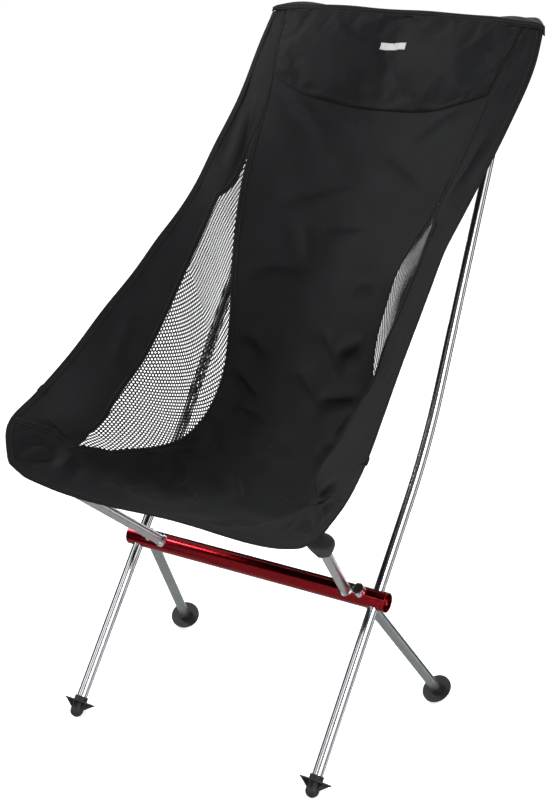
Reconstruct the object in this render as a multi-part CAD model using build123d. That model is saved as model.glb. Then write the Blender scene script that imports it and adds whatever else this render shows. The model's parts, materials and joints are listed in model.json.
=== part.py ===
from build123d import *
import os
from math import acos, pi, sin, tan

# Ultralight high-back camping chair: a plug-together tube frame with a fabric sling on four pole tips.
# Millimetres, +Z up, the sitter faces -Y, +X is the sitter's left. The lists below are for the +X side;
# the -X side is its mirror image. The origin is on the floor under the centre of the chair's box.

# Driving dimensions, measured from the hub tube's axis, which lies at HUB_Y, HUB_Z.
HUB_Y = -99.35
HUB_Z = 187.85
HUB_LENGTH = 367.6
HUB_OD = 24.0
HUB_ID = 20.8
POLE_OD = 13.0
POLE_ID = 11.6
UPPER_POLE_OD = 12.4
UPPER_POLE_ID = 10.8
REAR_LEG_OD = 12.8
SLIDING_GAP = 0.06

FRONT_LEG_X = 168.2
FRONT_LEG_UP = Vector(0, 0.621, 0.784).normalized()
BACK_POLE_UP = Vector(-0.05, 0.503, 0.862).normalized()
BEND_HEIGHT = 151.5
BEND_RADIUS = 975.0
UPPER_JOINT_LENGTH = 151.5
UPPER_POLE_LENGTH = 384.5

REAR_LEG_X = 152.4
REAR_LEG_DOWN = Vector(0.1772, 0.5893, -0.7881).normalized()
REAR_SOCKET_OD = 15.0
REAR_SOCKET_TOP = 18.3
REAR_SOCKET_BOTTOM = 10.6
REAR_LEG_TOP = 12.0

SEAT_POLE_X = 129.1
SEAT_POLE_UP = Vector(0.2616, -0.7386, 0.6214).normalized()
SEAT_POLE_LENGTH = 240.0
SEAT_SOCKET_OD = 15.0
SEAT_RING_OD = 16.6
SEAT_RING_TOP = 14.6

FOOT_RADIUS = 8.0
FOOT_CENTRE_Z = 7.75
FOOT_DISC_RADIUS = 19.0
FOOT_DISC_THICKNESS = 1.6
FOOT_DISC_HEIGHT = 10.5
FOOT_COLLAR_RADIUS = 8.3
FOOT_COLLAR_HEIGHT = 6.0
FOOT_RIBS = 6
FOOT_RIB_HEIGHT = 9.0
FOOT_RIB_THICKNESS = 1.8
FOOT_BORE_FROM = 2.0

PLUG_STEM = 12.0
BACK_PLUG_HEAD = 4.5
SEAT_PLUG_HEAD = 4.0
FERRULE_WALL = 1.2
FERRULE_REACH = 42.0
LEG_FERRULE_TOP = 18.0
LEG_FERRULE_FIXED = 21.0
LEG_TOP = 3.6
CORD_RADIUS = 1.4
KNOT_RADIUS = 2.6

FABRIC = 0.8
MESH = 0.6
BINDING = 2.4
BINDING_WIDTH = 8.0
PANEL_GAP = 0.15
HEADREST_THICKNESS = 9.0
HEADREST_HEM = 1.5
HEADREST_GAP = 2.4
YOKE_BACK_Y = 366.0
YOKE_BACK_Z = 806.0
YOKE_OVER_TIP = Vector(0, 34.0, 10.0)
YOKE_CROWN = 6.0
YOKE_OVERHANG = 1.24
TIP_BULGE_WIDTH = 60.0
TOP_POCKET_LENGTH = 72.0
TOP_POCKET_RADII = (9.0, 12.0)
FRONT_POCKET_LENGTH = 36.0
FRONT_POCKET_RADII = (11.5, 9.5)
POCKET_CLEARANCE = 0.4

def vectors(points):
    return [Vector(p) for p in points]


# Stations of the sling from the front edge (first) over the seat and up the back to the top (last).
# CENTRE is the middle of the sling, SEAM the centre panel's side seam, WALL the outer edge of the mesh
# window and EDGE the sling's side edge. Y is measured from the hub's axis, X and Z from the origin.
CENTRE = vectors([
    (0, -170, 313), (0, -112, 299), (0, -54, 293), (0, -8, 298), (0, 45, 322), (0, 92, 362),
    (0, 130, 415), (0, 168, 482), (0, 205, 545), (0, 250, 615), (0, 300, 700), (0, 334, 762),
    (0, 356, 815)])
SEAM = vectors([
    (152, -190, 323), (152, -142, 345), (135, -85, 337), (114, -40, 331), (106, 10, 329),
    (104, 60, 347), (102, 93, 385), (100, 108, 455), (110, 132, 533), (132, 185, 606),
    (147, 263, 702), (160, 310, 762), (172, 352, 812)])
WALL = vectors([
    (182, -201, 335), (172, -142, 363), (151, -117, 373), (150, -68, 401), (150, -12, 433),
    (150, 46, 488), (151, 85, 528), (151, 116, 560), (151, 149, 595), (151, 191, 633),
    (166, 265, 705), (176, 316, 765), (183, 353, 811)])
EDGE = vectors([
    (205, -204, 350), (223, -182, 384), (219, -130, 411), (210, -75, 446), (202, -20, 487),
    (194, 35, 524), (189, 78, 557), (184, 115, 583), (184, 155, 611), (187, 200, 649),
    (190, 268, 706), (194, 325, 768), (190, 354, 808)])
LAST = len(CENTRE) - 1
SEAT_ENDS = 5.0
MESH_FROM = 0.95
MESH_FRONT_TAPER = 1.05
MESH_TO = 9.7
MESH_TOP_TAPER = 1.7
MESH_SLACK = 0.35
HEADREST_FROM = 10.0
HEADREST_RISE = 0.55


def slope(curve, k):
    """Direction of a curve at its point k, weighted so that close points don't make it overshoot."""
    if k == 0 or k == len(curve) - 1:
        k = max(k, 1)
        return (curve[k] - curve[k - 1]).normalized()
    before, after = curve[k] - curve[k - 1], curve[k + 1] - curve[k]
    a, b = before.length, after.length
    return (after * (a / b) + before * (b / a)) / (a + b)


def at(curve, t):
    """Point of a smooth curve through the listed points, at t counted in points."""
    i = min(max(int(t), 0), len(curve) - 2)
    s = t - i
    start, end = curve[i], curve[i + 1]
    span = (end - start).length
    leave, arrive = slope(curve, i) * span, slope(curve, i + 1) * span
    return (start * (1 - 3 * s**2 + 2 * s**3) + end * (3 * s**2 - 2 * s**3)
            + leave * (s - 2 * s**2 + s**3) + arrive * (s**3 - s**2))


def mirrored(point):
    return Vector(-point.X, point.Y, point.Z)


def sling_point(u, v):
    """Middle surface of the sling: u runs from -3 to 3 across, v from 0 at the front to LAST at the top."""
    half = [at(curve, v) for curve in (SEAM, WALL, EDGE)]
    row = [mirrored(p) for p in reversed(half)] + [at(CENTRE, v)] + half
    point = at(row, u + 3)
    if 1 < abs(u) < 2:  # the mesh window is pulled nearly flat between its seams
        flat = half[0] + (half[1] - half[0]) * (abs(u) - 1)
        if u < 0:
            flat = mirrored(flat)
        point = flat + (point - flat) * MESH_SLACK
    return point + Vector(0, HUB_Y, 0)


def sling_normal(u, v):
    """Unit normal on the sitter's side."""
    h = 0.02
    across = sling_point(min(u + h, 3), v) - sling_point(max(u - h, -3), v)
    along = sling_point(u, min(v + h, LAST)) - sling_point(u, max(v - h, 0))
    return across.cross(along).normalized()


def facets(a, b, c, d):
    """Two triangles over four corners given in order."""
    return [Face(Wire.make_polygon(corners)) for corners in ((a, b, c), (a, c, d))]


def closed_sheet(top, bottom):
    """Solid between two grids of points."""
    rows, columns = len(top) - 1, len(top[0]) - 1
    faces = []
    for j in range(rows):
        for i in range(columns):
            for grid in (top, bottom):
                faces += facets(grid[j][i], grid[j][i + 1], grid[j + 1][i + 1], grid[j + 1][i])
    for j in range(rows):
        for i in (0, columns):
            faces += facets(top[j][i], top[j + 1][i], bottom[j + 1][i], bottom[j][i])
    for i in range(columns):
        for j in (0, rows):
            faces += facets(top[j][i], top[j][i + 1], bottom[j][i + 1], bottom[j][i])
    return Solid(Shell(faces))


def sling_sheet(u_from, u_to, stations, thickness, columns):
    """Panel of the sling over a list of stations; u_from and u_to are functions of the station."""
    top, bottom = [], []
    for v in stations:
        across = [u_from(v) + (u_to(v) - u_from(v)) * i / columns for i in range(columns + 1)]
        normals = [sling_normal(u, v) * (thickness / 2) for u in across]
        middles = [sling_point(u, v) for u in across]
        top.append([p + n for p, n in zip(middles, normals)])
        bottom.append([p - n for p, n in zip(middles, normals)])
    return closed_sheet(top, bottom)


def mesh_edge(v):
    """The u of the mesh window's outer edge: it leaves the seam at both tips."""
    front, top = (v - MESH_FROM) / MESH_FRONT_TAPER, (MESH_TO - v) / MESH_TOP_TAPER
    return 1 + min(max(min(front, top), 0), 1)


def binding_u(v):
    """Width of the edge binding as a step of u."""
    return BINDING_WIDTH / (at(EDGE, v) - at(WALL, v)).length


def gap_u(v):
    return PANEL_GAP / (at(EDGE, v) - at(WALL, v)).length


def mirror_x(shape):
    return mirror(shape, about=Plane.YZ)


def hub_point(x, direction, distance):
    return Vector(x, HUB_Y, HUB_Z) + direction * distance


def rod(start, direction, length, radius):
    return Plane(origin=start, z_dir=direction) * Cylinder(
        radius, length, align=(Align.CENTER, Align.CENTER, Align.MIN))


def tube(start, direction, length, outer, inner):
    """Tube by its two diameters."""
    bore = rod(start - direction, direction, length + 2, inner / 2)
    return rod(start, direction, length, outer / 2) - bore


def save(name, shape):
    if len(shape.solids()) == 1:
        shape = shape.solids()[0]
    shape.label = name
    export_step(shape, f"parts/{name}.step")
    boxes.append(shape.bounding_box())


def save_pair(name, shape):
    save(name + "_left", shape)
    save(name + "_right", mirror_x(shape))


# ---- Frame geometry on the +X side ----

def bend_corner():
    return hub_point(FRONT_LEG_X, FRONT_LEG_UP, BEND_HEIGHT / FRONT_LEG_UP.Z)


def bend_tangent():
    turn = acos(FRONT_LEG_UP.dot(BACK_POLE_UP))
    return BEND_RADIUS * tan(turn / 2)


def lower_pole_path(start):
    """Centre line of the bent lower section of the back pole."""
    corner, reach = bend_corner(), bend_tangent()
    arc_start = corner - FRONT_LEG_UP * reach
    arc_end = corner + BACK_POLE_UP * reach
    end = corner + BACK_POLE_UP * UPPER_JOINT_LENGTH
    arc = TangentArc(arc_start, arc_end, tangent=FRONT_LEG_UP)
    return Wire([Line(start, arc_start), arc, Line(arc_end, end)])


def swept(path, radius):
    section = Plane(origin=path @ 0, z_dir=path % 0) * Circle(radius)
    return sweep(section, path=path)


def back_pole_lower():
    path = lower_pole_path(hub_point(FRONT_LEG_X, FRONT_LEG_UP, -3.0))
    return swept(path, POLE_OD / 2) - swept(path, POLE_ID / 2)


def back_pole_joint():
    return bend_corner() + BACK_POLE_UP * UPPER_JOINT_LENGTH


def back_pole_upper():
    return tube(back_pole_joint(), BACK_POLE_UP, UPPER_POLE_LENGTH, UPPER_POLE_OD, UPPER_POLE_ID)


def back_pole_ferrule():
    """Stepped insert that joins the two sections of the back pole."""
    joint = back_pole_joint()
    low = rod(joint - BACK_POLE_UP * FERRULE_REACH, BACK_POLE_UP, FERRULE_REACH, POLE_ID / 2)
    high = rod(joint, BACK_POLE_UP, FERRULE_REACH, UPPER_POLE_ID / 2)
    bore = rod(joint - BACK_POLE_UP * (FERRULE_REACH + 1), BACK_POLE_UP, 2 * FERRULE_REACH + 2,
               UPPER_POLE_ID / 2 - FERRULE_WALL)
    return low + high - bore


def end_plug(end, direction, bore, outer, head_height):
    """Plastic end plug with a domed head in the end of a tube."""
    stem = rod(end - direction * PLUG_STEM, direction, PLUG_STEM, bore / 2)
    head = rod(end, direction, head_height, outer / 2)
    return stem + fillet(head.edges().sort_by(Axis.Z)[-1], head_height - 1)


def back_pole_end():
    return back_pole_joint() + BACK_POLE_UP * UPPER_POLE_LENGTH


def seat_pole():
    return tube(hub_point(SEAT_POLE_X, SEAT_POLE_UP, -2), SEAT_POLE_UP, SEAT_POLE_LENGTH + 2,
                POLE_OD, POLE_ID)


def seat_pole_end():
    return hub_point(SEAT_POLE_X, SEAT_POLE_UP, SEAT_POLE_LENGTH)


def hub_core():
    """The hub tube's outer cylinder, used to cut what sits on it."""
    return rod(Vector(-HUB_LENGTH / 2, HUB_Y, HUB_Z), Vector(1, 0, 0), HUB_LENGTH, HUB_OD / 2)


def seat_pole_socket():
    """Bright socket with a collar on the hub's front top face."""
    body = rod(hub_point(SEAT_POLE_X, SEAT_POLE_UP, -3.5), SEAT_POLE_UP, SEAT_RING_TOP + 3.5,
               SEAT_SOCKET_OD / 2)
    ring = rod(hub_point(SEAT_POLE_X, SEAT_POLE_UP, 4), SEAT_POLE_UP, SEAT_RING_TOP - 4,
               SEAT_RING_OD / 2) - hub_core()
    pole = rod(hub_point(SEAT_POLE_X, SEAT_POLE_UP, -2), SEAT_POLE_UP, 40, POLE_OD / 2)
    bore = rod(hub_point(SEAT_POLE_X, SEAT_POLE_UP, -6), SEAT_POLE_UP, 40, POLE_ID / 2)
    return body + ring - pole - bore


def rear_leg_socket():
    """Bright sleeve through the hub for the rear leg, slotted round its upper rim."""
    up = REAR_LEG_DOWN * -1
    start = hub_point(REAR_LEG_X, REAR_LEG_DOWN, REAR_SOCKET_BOTTOM)
    length = REAR_SOCKET_TOP + REAR_SOCKET_BOTTOM
    socket = tube(start, up, length, REAR_SOCKET_OD, REAR_LEG_OD + 2 * SLIDING_GAP)
    rim = Plane(origin=hub_point(REAR_LEG_X, up, REAR_SOCKET_TOP), z_dir=up)
    for k in range(4):
        slot = rim * Rot(0, 0, 45 * k) * Box(REAR_SOCKET_OD + 4, 1.3, 5.0)
        socket = socket - slot
    return socket


def socket_plug():
    """Black plug in the sleeve's upper end that holds the shock cord's knot."""
    up = REAR_LEG_DOWN * -1
    start = hub_point(REAR_LEG_X, up, REAR_LEG_TOP + 1.0)
    length = REAR_SOCKET_TOP - REAR_LEG_TOP - 1.8
    return tube(start, up, length, REAR_LEG_OD + 2 * SLIDING_GAP, 2 * CORD_RADIUS)


def hub_tube():
    hub = tube(Vector(-HUB_LENGTH / 2, HUB_Y, HUB_Z), Vector(1, 0, 0), HUB_LENGTH, HUB_OD, HUB_ID)
    hub = fillet(hub.edges().filter_by(GeomType.CIRCLE), 0.6)
    sliding = POLE_OD / 2 + SLIDING_GAP
    pole_hole = rod(hub_point(FRONT_LEG_X, FRONT_LEG_UP, -20), FRONT_LEG_UP, 20, sliding)
    pole_seat = rod(hub_point(FRONT_LEG_X, FRONT_LEG_UP, -1), FRONT_LEG_UP, 21, POLE_OD / 2)
    rear_hole = rod(hub_point(REAR_LEG_X, REAR_LEG_DOWN, -20), REAR_LEG_DOWN, 40, REAR_SOCKET_OD / 2)
    seat_hole = rod(hub_point(SEAT_POLE_X, SEAT_POLE_UP, 0), SEAT_POLE_UP, 20, SEAT_SOCKET_OD / 2)
    for cut in (pole_hole, pole_seat, rear_hole, seat_hole):
        hub = hub - cut - mirror_x(cut)
    return hub


def foot_reach(direction):
    """Distance from the hub's axis down a leg to the centre of its foot's round tip."""
    return (HUB_Z - FOOT_CENTRE_Z) / -direction.Z


def foot(direction, x, leg_diameter):
    """Rubber foot on a leg; direction points down the leg from the hub's axis at x."""
    centre = hub_point(x, direction, foot_reach(direction))
    r, disc, top = FOOT_RADIUS, FOOT_DISC_HEIGHT, FOOT_DISC_HEIGHT + FOOT_DISC_THICKNESS
    collar = top + FOOT_COLLAR_HEIGHT
    leg_radius = leg_diameter / 2
    with BuildSketch(Plane.XZ) as half:
        with BuildLine():
            CenterArc((0, 0), r, -90, 90)
            Polyline((r, 0), (r, disc), (FOOT_DISC_RADIUS, disc), (FOOT_DISC_RADIUS, top),
                     (FOOT_COLLAR_RADIUS, top), (FOOT_COLLAR_RADIUS, collar), (leg_radius, collar),
                     (leg_radius, FOOT_BORE_FROM), (0, FOOT_BORE_FROM), (0, -r))
        make_face()
    body = revolve(half.sketch, axis=Axis.Z)
    for k in range(FOOT_RIBS):
        with BuildSketch(Plane.XZ) as rib:
            Polygon((r - 1, disc - FOOT_RIB_HEIGHT), (r - 1, disc), (FOOT_DISC_RADIUS - 1.5, disc),
                    align=None)
        plate = extrude(rib.sketch, amount=FOOT_RIB_THICKNESS / 2, both=True)
        body = body + Rot(0, 0, 360 / FOOT_RIBS * k) * plate
    bore = Cylinder(leg_radius, 40, align=(Align.CENTER, Align.CENTER, Align.MIN))
    body = body - Pos(0, 0, FOOT_BORE_FROM) * bore
    placed = Plane(origin=centre, z_dir=direction * -1) * body
    floor_cut = Pos(*centre) * Pos(0, 0, -FOOT_CENTRE_Z - 10) * Box(60, 60, 20)
    return placed - floor_cut


def leg(direction, x, top, outer, inner):
    """Leg tube from its plug-in end in the hub to the bottom of the bore in its foot."""
    length = foot_reach(direction) - top - FOOT_BORE_FROM
    return tube(hub_point(x, direction, top), direction, length, outer, inner)


def leg_ferrule():
    """Insert fixed in the back pole's lower end; the front leg slides over it."""
    down = FRONT_LEG_UP * -1
    start = hub_point(FRONT_LEG_X, FRONT_LEG_UP, LEG_FERRULE_TOP)
    length = LEG_FERRULE_FIXED + FERRULE_REACH
    fixed = rod(start, down, LEG_FERRULE_FIXED, POLE_ID / 2)
    free = rod(start, down, length, POLE_ID / 2 - SLIDING_GAP)
    bore = rod(start - down, down, length + 2, UPPER_POLE_ID / 2 - FERRULE_WALL)
    return fixed + free - bore


def shock_cord(start, direction, length):
    """Elastic cord inside a tube with a knot at its lower end."""
    cord = rod(start, direction, length, CORD_RADIUS)
    knot = Pos(*(start + direction * length)) * Sphere(KNOT_RADIUS)
    return cord + knot


# ---- Sling ----

def constant(value):
    return lambda v: value


def middle_panel(rows):
    return sling_sheet(lambda v: -1 + gap_u(v), lambda v: 1 - gap_u(v), rows, FABRIC, 12)


def side_panel():
    return sling_sheet(lambda v: mesh_edge(v) + gap_u(v), lambda v: 3 - binding_u(v) - gap_u(v),
                       PANEL_ROWS, FABRIC, 5)


def mesh_panel():
    rows = [v for v in PANEL_ROWS if MESH_FROM + 0.2 < v < MESH_TO - 0.2]
    return sling_sheet(lambda v: 1 + gap_u(v), lambda v: mesh_edge(v) - gap_u(v), rows, MESH, 4)


def edge_binding():
    return sling_sheet(lambda v: 3 - binding_u(v), constant(3), [0] + PANEL_ROWS, BINDING, 1)


def front_hem():
    edge = 3 - binding_u(0) - 0.02
    return sling_sheet(constant(-edge), constant(edge), [0, FRONT_HEM], BINDING, 24)


def headrest():
    """Padded pocket panel over the top of the back; its lower edge hangs in a curve."""
    low, high = [], []
    columns, rows = 14, 8
    lift = FABRIC / 2 + HEADREST_GAP
    for j in range(rows + 1):
        low.append([])
        high.append([])
        for i in range(columns + 1):
            a = 2 * i / columns - 1
            u = a * 0.97
            start = HEADREST_FROM + HEADREST_RISE * a * a
            v = start + (LAST - 0.06 - start) * j / rows
            puff = HEADREST_THICKNESS * sin(pi * (0.12 + 0.76 * j / rows)) * (1 - a**4)
            middle, normal = sling_point(u, v), sling_normal(u, v)
            low[-1].append(middle + normal * lift)
            high[-1].append(middle + normal * (lift + HEADREST_HEM + puff))
    return closed_sheet(high, low)


def top_yoke():
    """Band that runs from the headrest's top seam back over the tips of the back poles."""
    tip = back_pole_end() + BACK_POLE_UP * BACK_PLUG_HEAD
    outer, inner = [], []
    columns, rows = 18, 3
    for j in range(rows + 1):
        s = j / rows
        outer.append([])
        inner.append([])
        for i in range(columns + 1):
            a = 2 * i / columns - 1
            front = sling_point(3 * a * 0.995, LAST) + Vector(0, 1.0, 1.2)
            back_x = tip.X * YOKE_OVERHANG * a
            near_tip = max(0.0, 1 - ((abs(back_x) - tip.X) / TIP_BULGE_WIDTH) ** 2)
            back = Vector(back_x, HUB_Y + YOKE_BACK_Y, YOKE_BACK_Z) + YOKE_OVER_TIP * near_tip
            p = front + (back - front) * s + Vector(0, 0, YOKE_CROWN * sin(pi * s))
            outer[-1].append(p + Vector(0, 0, FABRIC / 2))
            inner[-1].append(p - Vector(0, 0, FABRIC / 2))
    return closed_sheet(outer, inner)


def pocket(end, direction, length, radii, pole_diameter):
    """Reinforced corner pocket: a tapered sleeve, open at the mouth, that takes a pole tip."""
    frame = Plane(origin=end - direction * length, z_dir=direction)
    align = (Align.CENTER, Align.CENTER, Align.MIN)
    sleeve = frame * Cone(*radii, length + 2, align=align)
    bore = frame * Cylinder(pole_diameter / 2 + POCKET_CLEARANCE, length + 1, align=align)
    return sleeve - bore


os.makedirs("parts", exist_ok=True)
boxes = []
FRONT_HEM = BINDING_WIDTH / (at(CENTRE, 1) - at(CENTRE, 0)).length
ROW_GAP = 0.004
PANEL_ROWS = ([FRONT_HEM + ROW_GAP, 0.5, MESH_FROM, 1.2] + [1.5 + k / 2 for k in range(16)]
              + [9.3, 9.5, MESH_TO, 10.0, 10.5, 11.0, 11.5, LAST - 0.02])
SEAT_ROWS = [v for v in PANEL_ROWS if v < SEAT_ENDS] + [SEAT_ENDS - ROW_GAP]
BACK_ROWS = [SEAT_ENDS + ROW_GAP] + [v for v in PANEL_ROWS if v > SEAT_ENDS]
FRONT_DOWN = FRONT_LEG_UP * -1
BACK_TIP = back_pole_end() + BACK_POLE_UP * BACK_PLUG_HEAD
SEAT_TIP = seat_pole_end() + SEAT_POLE_UP * SEAT_PLUG_HEAD

save("hub_tube", hub_tube())
save_pair("back_pole_lower", back_pole_lower())
save_pair("back_pole_upper", back_pole_upper())
save_pair("back_pole_ferrule", back_pole_ferrule())
save_pair("back_pole_tip", end_plug(back_pole_end(), BACK_POLE_UP, UPPER_POLE_ID, UPPER_POLE_OD,
                                    BACK_PLUG_HEAD))
save_pair("leg_ferrule", leg_ferrule())
save_pair("seat_pole", seat_pole())
save_pair("seat_pole_tip", end_plug(seat_pole_end(), SEAT_POLE_UP, POLE_ID, POLE_OD, SEAT_PLUG_HEAD))
save_pair("seat_pole_socket", seat_pole_socket())
save_pair("rear_leg_socket", rear_leg_socket())
save_pair("socket_plug", socket_plug())
save_pair("front_leg", leg(FRONT_DOWN, FRONT_LEG_X, LEG_TOP, POLE_OD, POLE_ID))
save_pair("rear_leg", leg(REAR_LEG_DOWN, REAR_LEG_X, -REAR_LEG_TOP, REAR_LEG_OD, POLE_ID))
save_pair("front_foot", foot(FRONT_DOWN, FRONT_LEG_X, POLE_OD))
save_pair("rear_foot", foot(REAR_LEG_DOWN, REAR_LEG_X, REAR_LEG_OD))
save_pair("shock_cord_front", shock_cord(hub_point(FRONT_LEG_X, FRONT_LEG_UP, 60), FRONT_DOWN, 210))
save_pair("shock_cord_rear", shock_cord(hub_point(REAR_LEG_X, REAR_LEG_DOWN, -18.5), REAR_LEG_DOWN, 120))
save("sling_seat_panel", middle_panel(SEAT_ROWS))
save("sling_back_panel", middle_panel(BACK_ROWS))
save_pair("sling_side_panel", side_panel())
save_pair("sling_mesh_window", mesh_panel())
save_pair("sling_edge_binding", edge_binding())
save("sling_front_hem", front_hem())
save("headrest", headrest())
save("top_yoke", top_yoke())
save_pair("top_pocket", pocket(BACK_TIP, BACK_POLE_UP, TOP_POCKET_LENGTH, TOP_POCKET_RADII, UPPER_POLE_OD))
save_pair("front_pocket", pocket(SEAT_TIP, SEAT_POLE_UP, FRONT_POCKET_LENGTH, FRONT_POCKET_RADII, POLE_OD))

low = [min(getattr(b.min, k) for b in boxes) for k in "XYZ"]
high = [max(getattr(b.max, k) for b in boxes) for k in "XYZ"]
print("box", low, high, "centre y", (low[1] + high[1]) / 2)
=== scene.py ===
import json
import math
import random

import bmesh
import bpy
import numpy as np
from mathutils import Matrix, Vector
from mathutils.bvhtree import BVHTree


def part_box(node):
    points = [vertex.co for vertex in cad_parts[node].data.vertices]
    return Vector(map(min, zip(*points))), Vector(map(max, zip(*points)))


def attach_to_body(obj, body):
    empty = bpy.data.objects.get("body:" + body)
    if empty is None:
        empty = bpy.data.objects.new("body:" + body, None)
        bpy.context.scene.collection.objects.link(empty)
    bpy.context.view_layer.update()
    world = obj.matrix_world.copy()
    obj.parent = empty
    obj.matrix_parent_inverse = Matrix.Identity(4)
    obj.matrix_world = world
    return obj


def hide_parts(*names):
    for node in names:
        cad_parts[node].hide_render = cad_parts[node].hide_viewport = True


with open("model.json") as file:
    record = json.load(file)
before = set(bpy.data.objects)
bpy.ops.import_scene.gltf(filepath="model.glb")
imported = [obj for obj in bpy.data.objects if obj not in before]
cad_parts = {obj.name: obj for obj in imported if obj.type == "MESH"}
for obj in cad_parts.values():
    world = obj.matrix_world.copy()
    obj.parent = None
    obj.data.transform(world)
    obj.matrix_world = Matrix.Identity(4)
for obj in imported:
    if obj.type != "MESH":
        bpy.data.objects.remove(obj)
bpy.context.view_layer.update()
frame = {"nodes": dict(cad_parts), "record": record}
BODY = "frame"
MM = 0.001

# ---- The sling's shape: the same stations as the CAD model, +X side, front edge first, top last ----

HUB_LOW, HUB_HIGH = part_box("hub_tube")
HUB_Y = (HUB_LOW.y + HUB_HIGH.y) / 2
CENTRE = [(0, -170, 313), (0, -112, 299), (0, -54, 293), (0, -8, 298), (0, 45, 322), (0, 92, 362),
          (0, 130, 415), (0, 168, 482), (0, 205, 545), (0, 250, 615), (0, 300, 700), (0, 334, 762),
          (0, 356, 815)]
SEAM = [(152, -190, 323), (152, -142, 345), (135, -85, 337), (114, -40, 331), (106, 10, 329),
        (104, 60, 347), (102, 93, 385), (100, 108, 455), (110, 132, 533), (132, 185, 606),
        (147, 263, 702), (160, 310, 762), (172, 352, 812)]
WALL = [(182, -201, 335), (172, -142, 363), (151, -117, 373), (150, -68, 401), (150, -12, 433),
        (150, 46, 488), (151, 85, 528), (151, 116, 560), (151, 149, 595), (151, 191, 633),
        (166, 265, 705), (176, 316, 765), (183, 353, 811)]
EDGE = [(205, -204, 350), (223, -182, 384), (219, -130, 411), (210, -75, 446), (202, -20, 487),
        (194, 35, 524), (189, 78, 557), (184, 115, 583), (184, 155, 611), (187, 200, 649),
        (190, 268, 706), (194, 325, 768), (190, 354, 808)]
LAST = 12.0  # the v of the sling's top edge
HEM = 0.1  # the v where the panels start, under the front binding
MESH_SLACK = 0.35
WINDOW_FRONT = (1.53, 1.05)  # u and v of the mesh window's front tip
WINDOW_TOP, WINDOW_TAPER = 10.2, 2.05
WINDOW_STEPS = 480
HEADREST_FROM, HEADREST_RISE = 10.0, 0.55

FABRIC = 0.0008
BINDING_WIDTH = 0.0085
BINDING_THICK = 0.0026
MESH_PITCH, MESH_HOLE, MESH_THREAD = 0.0044, 0.00131, 0.00022
MESH_ROW_STEP = MESH_PITCH * 0.866
FOLD_WIDTH, FOLD_HEIGHT = 1.3, 1.8
POCKET_FABRIC = 0.0012
POCKET_LENGTH = 0.074
POCKET_RADIUS = 0.0100
FRONT_POCKET_LENGTH = 0.047
FRONT_POCKET_MOUTH = 0.036  # from the seat pole's tip down to the mouth
YOKE_SPREAD = 1.24
YOKE_BACK_Y, YOKE_BACK_Z = HUB_Y + 0.366, 0.806
LABEL_U, LABEL_V = (-0.125, 0.125), (11.12, 11.28)


def slopes(points, lengths):
    """Directions at each point of a row of curves, weighted so that close points don't overshoot.
    points is (curves, n, 3) and lengths (curves, n - 1)."""
    steps = np.diff(points, axis=1) / lengths[..., None]
    a, b = lengths[:, :-1, None], lengths[:, 1:, None]
    middle = (steps[:, 1:] * a + steps[:, :-1] * b) / (a + b)
    return np.concatenate([steps[:, :1], middle, steps[:, -1:]], axis=1)


def hermite(points, t):
    """Points on each of a row of curves, one t for each curve, counted in points."""
    lengths = np.maximum(np.linalg.norm(np.diff(points, axis=1), axis=2), 1e-9)
    tangents = slopes(points, lengths)
    i = np.clip(np.floor(t).astype(int), 0, points.shape[1] - 2)
    s = (t - i)[:, None]
    k = np.arange(len(points))
    span = lengths[k, i][:, None]
    return (points[k, i] * (1 - 3 * s**2 + 2 * s**3) + points[k, i + 1] * (3 * s**2 - 2 * s**3)
            + tangents[k, i] * span * (s - 2 * s**2 + s**3) + tangents[k, i + 1] * span * (s**3 - s**2))


def station_curve(rows):
    points = np.array(rows, float) * MM + np.array([0, HUB_Y, 0])
    return lambda v: hermite(np.broadcast_to(points, (len(v),) + points.shape), v)


CURVES = [station_curve(rows) for rows in (CENTRE, SEAM, WALL, EDGE)]
FLIP = np.array([-1, 1, 1])


def plain_surface(u, v):
    """The sling's middle surface without wrinkles; u from -3 to 3 across, v from 0 to LAST up."""
    shape = np.broadcast(u, v).shape
    u = np.broadcast_to(u, shape).ravel().astype(float)
    v = np.broadcast_to(v, shape).ravel().astype(float)
    centre, seam, wall, edge = [curve(v) for curve in CURVES]
    row = np.stack([edge * FLIP, wall * FLIP, seam * FLIP, centre, seam, wall, edge], axis=1)
    points = hermite(row, u + 3)
    # The mesh is pulled nearly flat between its two seams.
    flat = seam + (wall - seam) * (np.abs(u) - 1)[:, None]
    flat[:, 0] *= np.sign(u)
    window = ((np.abs(u) > 1) & (np.abs(u) < 2))[:, None]
    points = np.where(window, flat + (points - flat) * MESH_SLACK, points)
    return points.reshape(shape + (3,))


def unit(a):
    return a / np.maximum(np.linalg.norm(a, axis=-1, keepdims=True), 1e-12)


def frame_at(u, v):
    """Directions across and along the sling and its normal on the sitter's side."""
    h = 0.01
    across = unit(plain_surface(np.minimum(u + h, 3), v) - plain_surface(np.maximum(u - h, -3), v))
    along = unit(plain_surface(u, np.minimum(v + h, LAST)) - plain_surface(u, np.maximum(v - h, 0)))
    normal = unit(np.cross(across, along))
    return across, along, normal


def ease(t):
    t = np.clip(t, 0, 1)
    return t * t * (3 - 2 * t)


def bump(x, middle, width):
    return np.exp(-((x - middle) / width) ** 2)


def crease_height(p, start, end, width, depth):
    """A fold along a line: a ridge with a softer valley beside it, fading out at both ends."""
    run = end - start
    length = np.linalg.norm(run)
    run = run / length
    away = p - start
    t = (away @ run) / length
    bend = 0.12 * length * np.sin(np.pi * np.clip(t, 0, 1))
    side = np.cross(run, unit(np.cross(run, [0.0, 0.6, 0.8])))
    off = away - (away @ run)[..., None] * run
    d = np.linalg.norm(off + side * bend[..., None] * 0.5, axis=-1)
    signed = np.sign((off * side).sum(axis=-1)) * d
    fade = ease(t / 0.3) * ease((1 - t) / 0.45)
    ridge = np.exp(-(d / width) ** 2)
    valley = np.exp(-((signed - 1.7 * width) / (1.5 * width)) ** 2)
    return depth * fade * (ridge - 0.7 * valley)


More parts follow.
